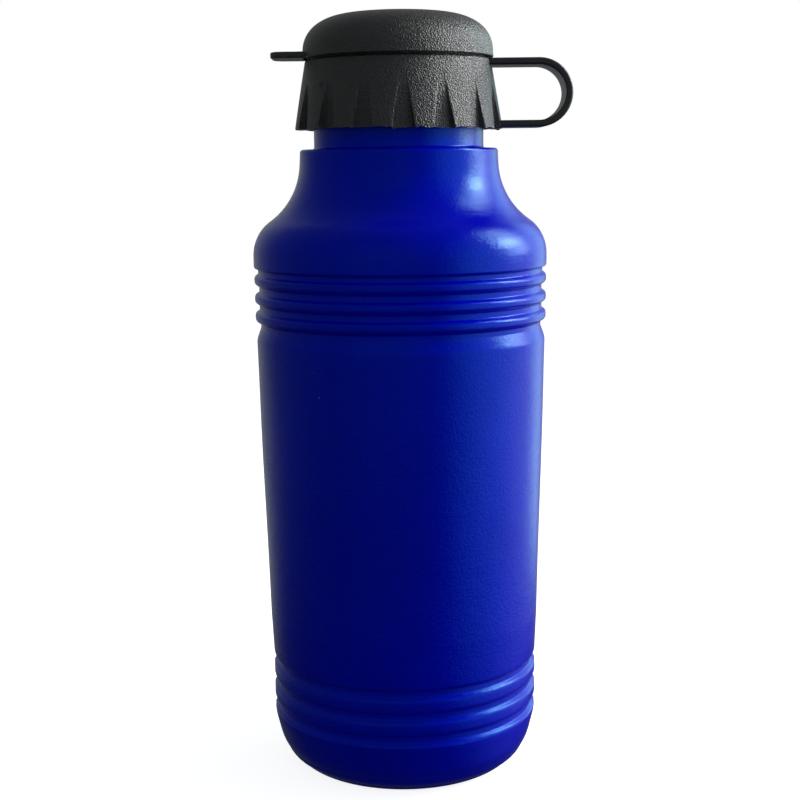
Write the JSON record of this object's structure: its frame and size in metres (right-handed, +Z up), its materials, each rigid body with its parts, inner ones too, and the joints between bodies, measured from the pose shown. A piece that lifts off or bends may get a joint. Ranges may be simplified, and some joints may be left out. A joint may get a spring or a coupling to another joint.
{
  "type": "sports squeeze bottle",
  "caption": "Round squeeze bottle with grip rings, a fluted screw cap with a push-pull spout, and a domed dust cover on a strap.",
  "frame": {"origin": "on the bottle's axis, in the plane that it stands on", "axes": "+Z up along the bottle's axis; +X towards the dust cover's strap, with the thumb tab at -X; -Y is the front"},
  "size_m": [0.0786, 0.0728, 0.1877],
  "materials": {
    "bottle_plastic": "semi-gloss",
    "cap_plastic": "fine spark-eroded texture",
    "gasket_rubber": "matt"
  },
  "bodies": {
    "bottle": {"bottle_body": "bottle_plastic"},
    "gasket": {"sealing_gasket": "gasket_rubber"},
    "cap": {"screw_cap": "cap_plastic"},
    "spout": {"pull_spout": "cap_plastic"},
    "strap_1": {"tether_link_1": "cap_plastic"},
    "strap_2": {"tether_link_2": "cap_plastic"},
    "cover": {"dust_cover": "cap_plastic"}
  },
  "joints": [
    {"name": "cap_lift", "type": "slide", "parent": "bottle", "child": "gasket", "axis": [0, 0, 1], "range_m": [0, 0.012]},
    {"name": "cap_turn", "type": "hinge", "parent": "gasket", "child": "cap", "pos_m": [0, 0, 0.168], "axis": [0, 0, 1], "range_deg": [0, 1080]},
    {"name": "spout_pull", "type": "slide", "parent": "cap", "child": "spout", "axis": [0, 0, 1], "range_m": [0, 0.004]},
    {"name": "cover_swing", "type": "hinge", "parent": "cap", "child": "strap_1", "pos_m": [0.03812, 0, 0.1614], "axis": [0, 1, 0], "range_deg": [0, 60]},
    {"name": "strap_bend_2", "type": "hinge", "parent": "strap_1", "child": "strap_2", "pos_m": [0.04225, 0, 0.16855], "axis": [0, 1, 0], "range_deg": [0, 60]},
    {"name": "strap_bend_3", "type": "hinge", "parent": "strap_2", "child": "cover", "pos_m": [0.03812, 0, 0.17569], "axis": [0, 1, 0], "range_deg": [0, 60]}
  ],
  "couplings": [
    {"joint": "cap_turn", "follows": "cap_lift", "rad_per_m": 1570.8},
    {"joint": "strap_bend_2", "follows": "cover_swing", "ratio": 1},
    {"joint": "strap_bend_3", "follows": "cover_swing", "ratio": 1}
  ]
}
